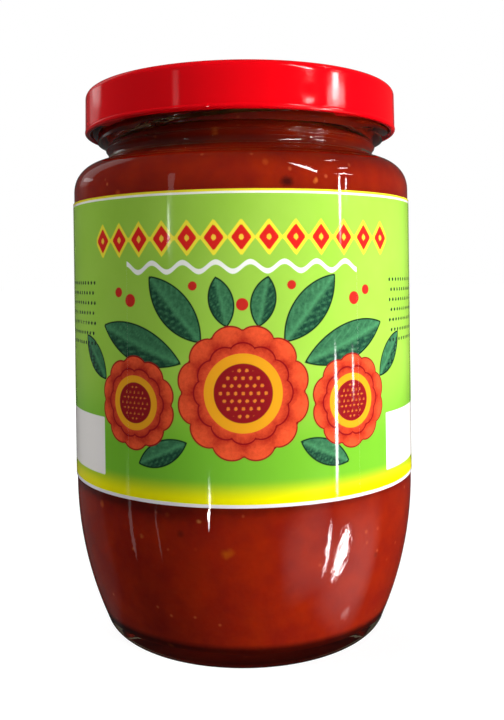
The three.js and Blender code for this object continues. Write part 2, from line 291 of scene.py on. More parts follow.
def lid_profile():
    """The underside from the axis out, down inside the skirt, round the hem, up the skirt and back over the
    top. The second value says how many rows have the inside's lacquer."""
    r = np.concatenate([np.linspace(*rows) for rows in TOP_ROWS])
    corner_r, corner_z = SKIRT_RADIUS - LID_CORNER, LID_TOP - LID_CORNER
    skirt_z = np.linspace(LID_BOTTOM + SKIRT_FOOT, corner_z - SKIRT_MARGIN, SKIRT_ROWS)
    under = np.column_stack([r, LID_TOP - panel(r) - STEEL])
    inner_corner = arc(corner_r, corner_z, LID_CORNER - STEEL, 90, 0, 9)
    inner_skirt = np.column_stack([np.full(SKIRT_ROWS, SKIRT_RADIUS - STEEL), skirt_z[::-1]])
    hem = arc(LID_RADIUS - HEM, LID_BOTTOM + HEM, HEM, HEM_START, HEM_END, HEM_ROWS)
    close_z = np.linspace(LID_BOTTOM + CLOSE_START, LID_BOTTOM + CLOSE_END, 10)
    outer_z = np.concatenate([close_z, skirt_z[2:]])
    flare = SKIRT_FLARE * (corner_z - outer_z) / (corner_z - LID_BOTTOM)
    outer_skirt = np.column_stack([SKIRT_RADIUS + flare, outer_z])
    outer_corner = arc(corner_r, corner_z, LID_CORNER, 0, 90, 12)
    over = np.column_stack([r, LID_TOP - panel(r)])[::-1]
    lined = len(under) + len(inner_corner) + SKIRT_ROWS + LINED_HEM_ROWS
    return np.concatenate([under, inner_corner, inner_skirt, hem, outer_skirt, outer_corner, over]), lined


steel_profile, lined_rows = lid_profile()
steel_slots = np.arange(len(steel_profile)) < lined_rows
lid_steel = ring_mesh("lid_steel", surface_of_revolution(steel_profile, 256, pressed_lid), steel_slots)


# ---- The sealing ring ----
def ring_section():
    """A bead of compound: straight sides between quarter-round corners, narrower at the top."""
    low, high = RIM_TOP + LINER_CLEARANCE, LID_TOP - STEEL - LINER_CLEARANCE
    inset, top_inset = 0.3, 0.45
    bottom_round, outer_round, inner_round = 0.28, 0.3, 0.2
    return np.concatenate([
        arc(LINER_INNER + inset, low + bottom_round, bottom_round, 180, 270, 6),
        arc(LINER_OUTER - inset, low + bottom_round, bottom_round, 270, 360, 6),
        arc(LINER_OUTER - top_inset, high - outer_round, outer_round, 0, 90, 6),
        arc(LINER_INNER + inset, high - inner_round, inner_round, 90, 180, 5),
    ])


sealing_ring = ring_mesh("sealing_ring", surface_of_revolution(ring_section(), 128), closed=True)


# ---- The label ----
def label_ripple(s, z):
    """How far the glued paper lies below its highest point, in mm: a sum of three cosines of its own length
    and height, each with its own number of millimetres to a radian, over the sum of their strengths."""
    upright = np.cos(s / 2.9 + 0.8 * np.sin(z / 11))
    slanted = np.cos(s / 4.7 - z / 23 + 2)
    level = 0.8 * np.cos(z / 6.1 + s / 19)
    return RIPPLE * (1 - (upright + slanted + level) / 2.8)


def leaf(s, z, cs, cz, turn, length, width):
    """Distance to a pointed leaf, the overlap of two equal circles, and its own length and breadth
    coordinates. It grows from (cs, cz) at turn degrees."""
    c, w = math.cos(math.radians(turn)), math.sin(math.radians(turn))
    x = (s - cs) * c + (z - cz) * w - length / 2
    y = -(s - cs) * w + (z - cz) * c
    big = ((length / 2) ** 2 + (width / 2) ** 2) / width
    side = big - width / 2
    return np.maximum(np.hypot(x, y + side), np.hypot(x, y - side)) - big, x / length, y / width


# The design, in millimetres of the sheet's length from its middle and of height above the jar's foot.
# Each flower is its centre, radius and number of petals. Each leaf is its foot, direction, length and width.
# Each berry is its centre and radius.
FLOWERS = [
    (0, 56.5, 13.2, 12), (-22.8, 54, 9.4, 10), (22.8, 54, 9.4, 10), (-78, 63, 11, 11), (78, 63, 11, 11),
]
LEAVES = [
    (8, 66, 50, 17, 7), (12, 62, 20, 21, 7.4), (3, 69, 78, 10, 5), (11, 47, -24, 12, 5), (31, 58, 48, 12, 5),
    (78, 73, 60, 13, 5.4), (78, 73, 120, 13, 5.4), (70, 54, 210, 11, 4.6), (86, 54, -30, 11, 4.6),
]
BERRIES = [
    (23.6, 74.2, 1.3), (26.8, 75.8, 1.0), (9.6, 77.0, 0.9), (0, 73.4, 1.2), (64, 71, 1.2), (92, 71, 1.2),
]
LOZENGE_PITCH, LOZENGE_Z, LOZENGE_HALF_WIDTH, LOZENGE_HALF_HEIGHT = 5.3, 86.2, 2.0, 2.6
LOZENGE_SLOPE = 1.58  # turns the share of a lozenge's size into millimetres from its edge
LOZENGES_REACH = 34.45
WAVY_Z, WAVY_HEIGHT, WAVY_LENGTH, WAVY_REACH = 80.6, 0.9, 6.6, 24.75
# Each plain panel is its middle and half length. The dots fill one field to each side.
PLAIN_PANELS, PLAIN_Z, PLAIN_HALF_HEIGHT = [(-44.4, 12.6), (45.6, 12.4)], 44.4, 5.9
DOT_PITCH, DOT_ROW, DOT_RADIUS = 1.5, 2.1, 0.42
DOTS_MIDDLE, DOTS_HALF_LENGTH, DOTS_Z, DOTS_HALF_HEIGHT = 47.7, 12.9, 71.5, 8
FAR = 50.0


def staggered_dots(x, z, pitch, row_height, radius):
    """Distance to the nearest dot of a grid whose every second row is moved by half a pitch."""
    row = np.round(z / row_height)
    along = x / pitch - 0.5 * (row % 2)
    return np.hypot((along - np.round(along)) * pitch, z - row * row_height) - radius


def draw_flower(layers, s, z, cs, cz, r, petals):
    """Adds one flower to the layers. Its outer edge and an inner fold are scalloped circles, and inside them
    are a ring and a heart full of seeds. Their sizes are shares of its radius, and the shading beside the
    fold is about 2 mm wide."""
    out, turn = np.hypot(s - cs, z - cz), np.arctan2(z - cz, s - cs)
    scallop = np.abs(np.sin(turn * petals / 2))
    outer = out - r * (0.9 + 0.1 * scallop ** 0.6)
    inner = out - r * (0.66 + 0.07 * np.abs(np.cos(turn * petals / 2)) ** 0.6)
    under_fold = ease(1 - np.maximum(inner, 0) / 1.8)
    outer_shade = np.clip(out / r, 0, 1) * (0.5 + 0.5 * scallop ** 0.8) - 0.4 * under_fold
    inner_shade = 0.25 + 0.6 * ease(-inner / 2.5)
    shade = np.where(inner < 0, inner_shade, outer_shade)
    layers["petal_shade"] = np.where(outer < layers["petal"], shade, layers["petal_shade"])
    layers["petal"] = np.minimum(layers["petal"], outer)
    layers["fold"] = np.where(np.abs(inner) < np.abs(layers["fold"]), inner, layers["fold"])
    layers["ring"] = np.minimum(layers["ring"], np.abs(out - r * 0.5) - r * 0.075)
    layers["heart"] = np.minimum(layers["heart"], out - r * 0.43)
    pitch = r * 0.11
    seed = staggered_dots(s - cs, z - cz, pitch, pitch, 0.26 * pitch)
    layers["seed"] = np.minimum(layers["seed"], np.maximum(seed, out - r * 0.36))


def draw_leaf(layers, s, z, shape):
    """Adds one leaf to the layers, darker along its middle vein and its side veins and on its lower half."""
    d, x, y = leaf(s, z, *shape)
    middle_vein = np.abs(y) * 8
    side_veins = np.abs(np.sin((x * 8 - np.abs(y) * 5) * math.pi)) * 1.5 + 0.3
    vein = np.clip(np.minimum(middle_vein, side_veins), 0, 1)
    shade = 0.9 - 0.65 * vein * (1 - 0.3 * np.sign(y))
    layers["leaf_shade"] = np.where(d < layers["leaf"], shade, layers["leaf_shade"])
    layers["leaf"] = np.minimum(layers["leaf"], d)


def label_print(s, z):
    """The printed design as distances in mm, negative inside: folk flowers with scalloped petals, leaves that
    fan out of them, berries, a row of lozenges, a wavy line, plain panels and fields of small dots. Shades
    run from 0 to 1. Leaves and berries are drawn on the right and mirrored on the left."""
    far = np.full_like(s, FAR)
    layers = {k: far.copy() for k in ("petal", "fold", "ring", "heart", "seed", "leaf", "berry", "panel")}
    layers["petal_shade"], layers["leaf_shade"] = np.zeros_like(s), np.zeros_like(s)
    for flower in FLOWERS:
        draw_flower(layers, s, z, *flower)
    for shape in LEAVES:
        for side in (1, -1):
            draw_leaf(layers, side * s, z, shape)
    for cs, cz, r in BERRIES:
        layers["berry"] = np.minimum(layers["berry"], np.hypot(np.abs(s) - cs, z - cz) - r)
    x = (s + LOZENGE_PITCH / 2) % LOZENGE_PITCH - LOZENGE_PITCH / 2
    lozenge = np.abs(x) / LOZENGE_HALF_WIDTH + np.abs(z - LOZENGE_Z) / LOZENGE_HALF_HEIGHT - 1
    layers["lozenge"] = np.where(np.abs(s) < LOZENGES_REACH, lozenge * LOZENGE_SLOPE, far)
    wavy = z - WAVY_Z - WAVY_HEIGHT * np.sin(s * 2 * math.pi / WAVY_LENGTH)
    layers["wave"] = np.where(np.abs(s) < WAVY_REACH, wavy, far)
    for cs, half in PLAIN_PANELS:
        plain = np.maximum(np.abs(s - cs) - half, np.abs(z - PLAIN_Z) - PLAIN_HALF_HEIGHT)
        layers["panel"] = np.minimum(layers["panel"], plain)
    in_field = (np.abs(np.abs(s) - DOTS_MIDDLE) < DOTS_HALF_LENGTH) & (np.abs(z - DOTS_Z) < DOTS_HALF_HEIGHT)
    layers["dots"] = np.where(in_field, staggered_dots(s, z, DOT_PITCH, DOT_ROW, DOT_RADIUS), far)
    return layers


def paper_label():
    """A sheet bent to a radius of 39 mm: a fine grid of arc length by height on the outer face, one strip of
    long quads 0.12 mm or more further in, and faces that close the four edges. The coordinates of the map
    called print are hundreds of millimetres, and each layer of the design is an attribute of the points."""
    s_end = math.radians(LABEL_HALF_WRAP) * LABEL_RADIUS
    s = np.linspace(-s_end, s_end, 540)
    z = np.linspace(LABEL_BOTTOM, LABEL_TOP, 150)
    ss, zz = np.meshgrid(s, z)
    turn = ss / LABEL_RADIUS
    r = LABEL_RADIUS - label_ripple(ss, zz)
    outside = np.stack([r * np.sin(turn), -r * np.cos(turn), zz], axis=-1).reshape(-1, 3)
    rows, columns = ss.shape
    ends = [0, rows - 1]
    back = LABEL_RADIUS - 2 * RIPPLE - PAPER
    inside = np.stack([back * np.sin(turn), -back * np.cos(turn), zz], axis=-1)[ends].reshape(-1, 3)
    index = np.arange(rows * columns).reshape(rows, columns)
    grid = np.stack([index[:-1, :-1], index[:-1, 1:], index[1:, 1:], index[1:, :-1]], axis=-1).reshape(-1, 4)
    low = rows * columns + np.arange(columns)
    high = low + columns
    strips = [
        np.column_stack([low[1:], low[:-1], high[:-1], high[1:]]),
        np.column_stack([low[:-1], low[1:], index[0, 1:], index[0, :-1]]),
        np.column_stack([index[-1, :-1], index[-1, 1:], high[1:], high[:-1]]),
    ]
    sides = [[high[0], low[0], *index[:, 0]], [low[-1], high[-1], *index[::-1, -1]]]
    faces = np.concatenate([grid, *strips]).tolist() + [[int(k) for k in side] for side in sides]
    made = mesh_object("paper_label", np.concatenate([outside, inside]), faces, [0] * len(faces))
    mesh = made.data
    both = [np.concatenate([v.ravel(), v[ends].ravel()]) for v in (ss, zz)]
    corner = np.zeros(len(mesh.loops), np.int32)
    mesh.loops.foreach_get("vertex_index", corner)
    mesh.uv_layers.new(name="print").data.foreach_set("uv", (np.column_stack(both) / 100)[corner].ravel())
    for name, values in label_print(*both).items():
        mesh.attributes.new(name, "FLOAT", "POINT").data.foreach_set("value", values.astype(np.float32))
    return made


paper = paper_label()


# ---- Materials ----
def paint(code):
    """An sRGB hex colour as linear red, green, blue and alpha."""
    c = [int(code[k : k + 2], 16) / 255 for k in (1, 3, 5)]
    return [x / 12.92 if x <= 0.04045 else ((x + 0.055) / 1.055) ** 2.4 for x in c] + [1]


def add(tree, kind, inputs=None, **settings):
    """Adds one node with its settings. inputs maps a socket's name or number to a value or to another
    socket."""
    made = tree.nodes.new("ShaderNode" + kind)
    for key, value in settings.items():
        setattr(made, key, value)
    for key, value in (inputs or {}).items():
        if isinstance(value, bpy.types.NodeSocket):
            tree.links.new(value, made.inputs[key])
        else:
            made.inputs[key].default_value = value
    return made


def new_material(name):
    """An empty node material, and its tree."""
    made = bpy.data.materials.new(name)
    made.use_nodes = True
    made.node_tree.nodes.clear()
    return made, made.node_tree


def soda_lime_glass():
    """Soda-lime glass, pressed and blown: IOR 1.52, a faint green in thick places, and a fire-polished
    surface. Its shadow is that of clear glass, so lamps reach the paste."""
    made, t = new_material("soda_lime_glass_blown")
    at = add(t, "TexCoord").outputs["Object"]
    chill = add(t, "TexNoise", {"Vector": at, "Scale": 190.0, "Detail": 3.0, "Roughness": 0.45})
    bump = add(t, "Bump", {"Height": chill.outputs["Fac"], "Strength": 0.5, "Distance": 0.00008})
    glass = add(t, "BsdfPrincipled", {"Base Color": paint("#eef4ef"), "Roughness": 0.0, "IOR": 1.52,
                                      "Transmission Weight": 1.0, "Normal": bump.outputs[0]})
    clear = add(t, "BsdfTransparent", {"Color": paint("#f2f6f2")})
    path = add(t, "LightPath")
    both = add(t, "MixShader", {0: path.outputs["Is Shadow Ray"], 1: glass.outputs[0], 2: clear.outputs[0]})
    add(t, "OutputMaterial", {0: both.outputs[0]})
    return made


def wetted_glass():
    """The inner wall where paste wets it. Paste and glass bend light nearly alike, so nothing bends here."""
    made, t = new_material("soda_lime_glass_wetted")
    glass = add(t, "BsdfPrincipled", {"Base Color": paint("#ffffff"), "Roughness": 0.0, "IOR": 1.0,
                                      "Transmission Weight": 1.0})
    clear = add(t, "BsdfTransparent")
    path = add(t, "LightPath")
    both = add(t, "MixShader", {0: path.outputs["Is Shadow Ray"], 1: glass.outputs[0], 2: clear.outputs[0]})
    add(t, "OutputMaterial", {0: both.outputs[0]})
    return made


# Flecks of flesh and skin that lie against the glass: angle in degrees, height and radius in mm, and colour.
FLECKS = [
    (-5.4, 25.4, 1.1, "#a8500c"), (14.0, 96.9, 1.2, "#3c0a08"), (23.4, 97.2, 0.5, "#d06a28"),
    (-34, 27.2, 0.5, "#b05024"), (8, 18, 0.4, "#c4703c"), (41, 21, 0.5, "#b85a28"),
    (-14, 31.5, 0.4, "#c06a38"),
]
FLECK_CORE, FLECK_EDGE, FLECK_TEAR = 0.4, 1.3, 0.9  # shares of a fleck's radius, and its ragged edge in mm
# Smaller flesh and dark specks sit in cells of 5 mm and fibres in cells of 2.4 mm, each kind in the middle of
# those cells whose random colour passes a limit: cells to a metre, strength, channel, limit and ink.
SCATTERED = [
    (210.0, 0.8, 0, 0.93, "#c2501a"), (210.0, 0.8, 1, 0.96, "#520e06"), (420.0, 0.55, 0, 0.8, "#c8603a"),
]
# Heights over which the paste's colour changes, with its brightness there. These are painted light and shade:
# it darkens as a painted shade of the lid's shadow on the neck, gains a little painted light above that, and
# is darkened at its foot as a painted shadow.
NECK_SHADE_Z, NECK_LIGHT_Z, FOOT_SHADE_Z = (98.5, 104.5), (107.0, 109.5), (4.8, 6.2)
NECK_SHADE_SHARE, NECK_LIGHT_GAIN, FOOT_SHADE_SHARE = 0.42, 0.35, 0.25


def cooked_fruit_paste():
    """Cooked fruit pulp, stirred and poured hot: smooth and deep orange red, clouded every 7 mm or so, with
    orange flecks of flesh of 1 to 2 mm, fine fibres and dark specks. Its colour is darkened in the neck by a
    painted shade of the lid's shadow, lightened a little above that by painted light, and darkened at its
    foot by a painted shadow. Light goes a millimetre in. It lies against glass, so it has no gloss of its
    own."""
    made, t = new_material("gac_pulp_cooked")
    at = add(t, "TexCoord").outputs["Object"]
    height = add(t, "SeparateXYZ", {0: at}).outputs[2]
    cloud = add(t, "TexNoise", {"Vector": at, "Scale": 150.0, "Detail": 5.0, "Roughness": 0.62})
    tone = add(t, "MapRange", {"Value": cloud.outputs["Fac"], "From Min": 0.35, "From Max": 0.68})
    base = add(t, "Mix", {0: tone.outputs[0], 6: paint("#83180a"), 7: paint("#952206")}, data_type="RGBA")
    grain = add(t, "TexNoise", {"Vector": at, "Scale": 520.0, "Detail": 3.0})
    colour = base.outputs[2]
    for scale, strength, channel, limit, ink in SCATTERED:
        cells = add(t, "TexVoronoi", {"Vector": at, "Scale": scale, "Randomness": 1.0})
        near = add(t, "MapRange", {"Value": cells.outputs["Distance"], "From Min": 0.06, "From Max": 0.2,
                                   "To Min": strength, "To Max": 0.0})
        pick = add(t, "SeparateColor", {0: cells.outputs["Color"]})
        rare = add(t, "Math", {0: pick.outputs[channel], 1: limit}, operation="GREATER_THAN")
        share = add(t, "Math", {0: near.outputs[0], 1: rare.outputs[0]}, operation="MULTIPLY")
        colour = add(t, "Mix", {0: share.outputs[0], 6: colour, 7: paint(ink)}, data_type="RGBA").outputs[2]
    wall = BODY_RADIUS - WALL - PASTE_GAP
    for degrees, z, r, ink in FLECKS:
        a = math.radians(degrees)
        spot = [MM * wall * math.sin(a), -MM * wall * math.cos(a), MM * z]
        away = add(t, "VectorMath", {0: at, 1: spot}, operation="DISTANCE")
        torn = add(t, "MapRange", {"Value": grain.outputs["Fac"], "To Min": -MM * FLECK_TEAR,
                                   "To Max": MM * FLECK_TEAR})
        away = add(t, "Math", {0: away.outputs["Value"], 1: torn.outputs[0]}, operation="ADD")
        share = add(t, "MapRange", {"Value": away.outputs[0], "From Min": MM * FLECK_CORE * r,
                                    "From Max": MM * FLECK_EDGE * r, "To Min": 0.9, "To Max": 0.0})
        colour = add(t, "Mix", {0: share.outputs[0], 6: colour, 7: paint(ink)}, data_type="RGBA").outputs[2]
    # Painted shade: the paste darkens up the shoulder and neck, standing in for the lid's shadow.
    neck_shade = add(t, "MapRange", {"Value": height, "From Min": MM * NECK_SHADE_Z[0], "From Max": MM * NECK_SHADE_Z[1],
                                "To Min": 1.0, "To Max": NECK_SHADE_SHARE})
    # Painted light: above the neck ring, under the lid's hem, the paste is lightened a little.
    above = add(t, "MapRange", {"Value": height, "From Min": MM * NECK_LIGHT_Z[0], "From Max": MM * NECK_LIGHT_Z[1],
                                "To Min": 0.0, "To Max": NECK_LIGHT_GAIN})
    # Painted shade: the paste darkens at its foot, standing in for the shadow where the jar stands.
    foot = add(t, "MapRange", {"Value": height, "From Min": MM * FOOT_SHADE_Z[0], "From Max": MM * FOOT_SHADE_Z[1],
                               "To Min": FOOT_SHADE_SHARE, "To Max": 1.0})
    # The painted light and shade together, multiplied into the paste's colour below.
    painted_shading = add(t, "Math", {0: neck_shade.outputs[0], 1: above.outputs[0]}, operation="ADD")
    painted_shading = add(t, "Math", {0: painted_shading.outputs[0], 1: foot.outputs[0]}, operation="MULTIPLY")
    full = add(t, "Mix", {0: 1.0, 6: colour, 7: painted_shading.outputs[0]}, data_type="RGBA", blend_type="MULTIPLY")
    bump = add(t, "Bump", {"Height": grain.outputs["Fac"], "Strength": 0.25, "Distance": 0.0004})
    pulp = add(t, "BsdfPrincipled", {"Base Color": full.outputs[2], "Roughness": 0.45, "IOR": 1.36,
                                     "Specular IOR Level": 0.0, "Subsurface Weight": 0.25,
                                     "Subsurface Radius": (1.0, 0.25, 0.1), "Subsurface Scale": 0.0015,
                                     "Normal": bump.outputs[0]})
    add(t, "OutputMaterial", {0: pulp.outputs[0]})
    return made


# The inks in the order of printing: layer, edge of its distance in mm, ink, and the ink of its lit parts.
INKS = [
    ("leaf", 0.0, "#16301f", None), ("leaf", -0.3, "#1b4030", "#4c9060"),
    ("petal", 0.0, "#8a1418", None), ("petal", -0.3, "#a92219", "#e9572f"),
    ("fold", 0.16, "#8a1418", None), ("ring", 0.0, "#e8a11e", None),
    ("heart", 0.0, "#8c181c", None), ("seed", 0.0, "#dd7a2c", None),
    ("berry", 0.0, "#c42a22", None), ("lozenge", 0.62, "#f4e43c", None), ("lozenge", 0.0, "#da2420", None),
    ("lozenge", -1.1, "#f4c83c", None), ("wave", 0.5, "#f4f6ee", None), ("panel", 0.0, "#f4f0ec", None),
    ("dots", 0.0, "#27402a", None),
]
LINES = ("wave", "fold")  # layers drawn on both sides of their edge
INK_SPREAD = 0.09
# Heights are hundreds of millimetres. The ground fades to green and then to yellow below these heights: full
# and gone, strength and ink. Bare and yellow bands run along the sheet's edges: from, to and ink.
FADES = [(0.44, 0.62, 0.85, "#6ab428"), (0.358, 0.402, 1.0, "#eee800")]
EDGE_BANDS = [(0.0, 0.3536, "#e8e0e4"), (0.9453, 1.0, "#f1efe6"), (0.9497, 1.0, "#f0e030")]


def printed_paper():
    """Coated paper, offset printed and glued on wet: glossy ink on a sheet that the glue has left slightly
    uneven. Inks are flat colours with a dot too fine to see."""
    made, t = new_material("coated_paper_offset_printed")
    place = add(t, "UVMap", uv_map="print")
    xy = add(t, "SeparateXYZ", {0: place.outputs[0]})
    height = xy.outputs[1]
    mottle = add(t, "TexNoise", {"Vector": place.outputs[0], "Scale": 9.0, "Detail": 3.0})
    patchy = add(t, "MapRange", {"Value": mottle.outputs["Fac"], "From Min": 0.3, "From Max": 0.7})
    fine = add(t, "TexNoise", {"Vector": place.outputs[0], "Scale": 110.0, "Detail": 4.0, "Roughness": 0.7})
    grain = add(t, "MapRange", {"Value": fine.outputs["Fac"], "From Min": 0.25, "From Max": 0.75,
                                "To Min": -0.28, "To Max": 0.28})
    ground = add(t, "Mix", {0: patchy.outputs[0], 6: paint("#98c843"), 7: paint("#9fcd4b")}, data_type="RGBA")
    colour = ground.outputs[2]
    for low_z, high_z, strength, ink in FADES:
        fade = add(t, "MapRange", {"Value": height, "From Min": low_z, "From Max": high_z, "To Min": strength,
                                   "To Max": 0.0}, interpolation_type="SMOOTHSTEP")
        colour = add(t, "Mix", {0: fade.outputs[0], 6: colour, 7: paint(ink)}, data_type="RGBA").outputs[2]
    for layer, edge, ink, light in INKS:
        distance = add(t, "Attribute", attribute_name=layer, attribute_type="GEOMETRY").outputs["Fac"]
        if layer in LINES:
            distance = add(t, "Math", {0: distance}, operation="ABSOLUTE").outputs[0]
        inside = add(t, "MapRange", {"Value": distance, "From Min": edge - INK_SPREAD,
                                     "From Max": edge + INK_SPREAD, "To Min": 1.0, "To Max": 0.0},
                     interpolation_type="SMOOTHSTEP")
        ink = paint(ink)
        if light:
            shade = add(t, "Attribute", attribute_name=layer + "_shade", attribute_type="GEOMETRY")
            share = add(t, "Math", {0: grain.outputs[0], 1: shade.outputs["Fac"]}, operation="ADD",
                        use_clamp=True)
            ink = add(t, "Mix", {0: share.outputs[0], 6: ink, 7: paint(light)}, data_type="RGBA").outputs[2]
        colour = add(t, "Mix", {0: inside.outputs[0], 6: colour, 7: ink}, data_type="RGBA").outputs[2]
    for low_z, high_z, ink in EDGE_BANDS:
        above = add(t, "Math", {0: height, 1: low_z}, operation="GREATER_THAN")
        below = add(t, "Math", {0: height, 1: high_z}, operation="LESS_THAN")
        band = add(t, "Math", {0: above.outputs[0], 1: below.outputs[0]}, operation="MULTIPLY")
        colour = add(t, "Mix", {0: band.outputs[0], 6: colour, 7: paint(ink)}, data_type="RGBA").outputs[2]
    pulp = add(t, "TexNoise", {"Vector": place.outputs[0], "Scale": 190.0, "Detail": 2.0, "Roughness": 0.6})
    bump = add(t, "Bump", {"Height": pulp.outputs["Fac"], "Strength": 1.0, "Distance": 0.000003})
    sheet = add(t, "BsdfPrincipled", {"Base Color": colour, "Roughness": 0.05, "IOR": 1.48,
                                      "Normal": bump.outputs[0]})
    add(t, "OutputMaterial", {0: sheet.outputs[0]})
    return made


# A shallow dent in the skirt: its angle in degrees, and its height, radius and depth in mm.
DENT_ANGLE, DENT_Z, DENT_RADIUS, DENT_DEPTH = 22.5, 114.3, 2.6, 0.06


def lacquered_tinplate():
    """Tinplate with a stoved red lacquer, drawn into a cap: even, glossy, with the faintest orange peel and
    one shallow dent."""
    made, t = new_material("tinplate_lacquered_red")
    at = add(t, "TexCoord").outputs["Object"]
    peel = add(t, "TexNoise", {"Vector": at, "Scale": 420.0, "Detail": 2.0})
    bump = add(t, "Bump", {"Height": peel.outputs["Fac"], "Strength": 0.05, "Distance": 0.0002})
    a = math.radians(DENT_ANGLE)
    dent = (MM * SKIRT_RADIUS * math.sin(a), -MM * SKIRT_RADIUS * math.cos(a), MM * DENT_Z)
    away = add(t, "VectorMath", {0: at, 1: dent}, operation="DISTANCE")
    depth = add(t, "MapRange", {"Value": away.outputs["Value"], "From Min": 0.0, "From Max": MM * DENT_RADIUS,
                                "To Min": 0.0, "To Max": 1.0}, interpolation_type="SMOOTHSTEP")
    bump = add(t, "Bump", {"Height": depth.outputs[0], "Strength": 1.0, "Distance": MM * DENT_DEPTH,
                           "Normal": bump.outputs[0]})
    wear = add(t, "TexNoise", {"Vector": at, "Scale": 60.0, "Detail": 5.0})
    dull = add(t, "MapRange", {"Value": wear.outputs["Fac"], "From Min": 0.3, "From Max": 0.75,
                               "To Min": 0.07, "To Max": 0.12})
    tone = add(t, "Mix", {0: wear.outputs["Fac"], 6: paint("#dd000c"), 7: paint("#e7000f")}, data_type="RGBA")
    lacquer = add(t, "BsdfPrincipled", {"Base Color": tone.outputs[2], "Roughness": dull.outputs[0],
                                        "IOR": 1.5, "Normal": bump.outputs[0]})
    add(t, "OutputMaterial", {0: lacquer.outputs[0]})
    return made


def lacquered_inside():
    """The cap's inside: tinplate under a thin gold lacquer, which shows the metal's own sheen."""
    made, t = new_material("tinplate_lacquered_gold")
    at = add(t, "TexCoord").outputs["Object"]
    rolled = add(t, "TexNoise", {"Vector": at, "Scale": 300.0, "Detail": 3.0})
    rough = add(t, "MapRange", {"Value": rolled.outputs["Fac"], "To Min": 0.25, "To Max": 0.42})
    steel = add(t, "BsdfPrincipled", {"Base Color": paint("#c9a35a"), "Metallic": 0.85,
                                      "Roughness": rough.outputs[0]})
    add(t, "OutputMaterial", {0: steel.outputs[0]})
    return made


def sealing_compound():
    """Plastisol, flowed in and cured: soft, off-white and matt, with a faint skin."""
    made, t = new_material("plastisol_flowed_in")
    at = add(t, "TexCoord").outputs["Object"]
    skin = add(t, "TexNoise", {"Vector": at, "Scale": 350.0, "Detail": 3.0})
    tone = add(t, "Mix", {0: skin.outputs["Fac"], 6: paint("#d9d2c0"), 7: paint("#ece7da")}, data_type="RGBA")
    bump = add(t, "Bump", {"Height": skin.outputs["Fac"], "Strength": 0.2, "Distance": 0.0002})
    soft = add(t, "BsdfPrincipled", {"Base Color": tone.outputs[2], "Roughness": 0.6,
                                     "Normal": bump.outputs[0]})
    add(t, "OutputMaterial", {0: soft.outputs[0]})
    return made


for piece, finishes, body, node_name, slot_name in (
    (jar_glass, (soda_lime_glass(), wetted_glass()), "jar", "glass_jar", "clear_glass"),
    (jar_paste, (cooked_fruit_paste(),), "jar", "gac_paste", "fruit_paste"),
    (paper, (printed_paper(),), "jar", "label", "label_paper"),
    (lid_steel, (lacquered_tinplate(), lacquered_inside()), "lid", "lid_shell", "lacquered_steel"),
    (sealing_ring, (sealing_compound(),), "seal", "lid_liner", "sealing_compound"),
):
    for finish in finishes:
        piece.data.materials.append(finish)
    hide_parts(node_name)
    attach(piece, body)

# ---- Floor, light and camera ----
FLOOR_RADIUS = 5000  # in millimetres, as all shapes are
LAMP_DISTANCE, LAMP_AIM = 1.2, (0, 0, 0.06)  # in metres
STREAK_DEPTH = 2.2  # how much of a lamp's brightness the darkest streak takes when ragged is 1


def pale_floor():
    """A round pale floor. It glows, so it is nearly white everywhere, and glows a little less near the jar as
    a painted shadow. Only the camera sees it, so lamps below it light the jar as a bright floor would."""
    a = np.radians(np.arange(0, 360, 5))
    points = np.column_stack([FLOOR_RADIUS * np.cos(a), FLOOR_RADIUS * np.sin(a), np.zeros(len(a))])
    made = mesh_object("floor", points, [list(range(len(a)))], [0])
    finish, t = new_material("painted_board_matt")
    away = add(t, "VectorMath", {0: add(t, "TexCoord").outputs["Object"]}, operation="LENGTH")
    # Painted shadow: the glow is dimmed near the jar and is full 35 cm away.
    glow = add(t, "MapRange", {"Value": away.outputs["Value"], "From Min": 0.05, "From Max": 0.35,
                               "To Min": 0.84, "To Max": 1.0})
    board = add(t, "BsdfPrincipled", {"Base Color": paint("#8a8a8a"), "Roughness": 0.9,
                                      "Specular IOR Level": 0.1, "Emission Color": paint("#ffffff"),
                                      "Emission Strength": glow.outputs[0]})
    add(t, "OutputMaterial", {0: board.outputs[0]})
    made.data.materials.append(finish)
    made.visible_glossy = made.visible_transmission = made.visible_diffuse = made.visible_shadow = False


def shade_lamp(lamp, ragged, edge):
    """Gives a lamp its brightness over its own width u and height v: a smooth step, from 0 to edge, of
    4u(1 - u) times 4v(1 - v), less ragged times a noise of upright streaks."""
    lamp.use_nodes = True
    t = lamp.node_tree
    t.nodes.clear()
    place = add(t, "TexCoord")
    uv = add(t, "SeparateXYZ", {0: place.outputs["UV"]})
    rise = 16.0
    for k in (0, 1):
        turned = add(t, "Math", {0: 1.0, 1: uv.outputs[k]}, operation="SUBTRACT")
        side = add(t, "Math", {0: uv.outputs[k], 1: turned.outputs[0]}, operation="MULTIPLY")
        rise = add(t, "Math", {0: rise, 1: side.outputs[0]}, operation="MULTIPLY").outputs[0]
    upright = add(t, "Mapping", {"Vector": place.outputs["Object"], "Scale": (1.3, 0.4, 1.0)})
    streaks = add(t, "TexNoise", {"Vector": upright.outputs[0], "Scale": 32.0, "Detail": 4.0,
                                  "Roughness": 0.65})
    dark = add(t, "Math", {0: streaks.outputs["Fac"], 1: STREAK_DEPTH * ragged}, operation="MULTIPLY")
    level = add(t, "Math", {0: rise, 1: dark.outputs[0]}, operation="SUBTRACT")
    glow = add(t, "MapRange", {"Value": level.outputs[0], "From Min": 0.0, "From Max": edge},
               interpolation_type="SMOOTHSTEP")
    add(t, "OutputLight", {0: add(t, "Emission", {"Strength": glow.outputs[0]}).outputs[0]})


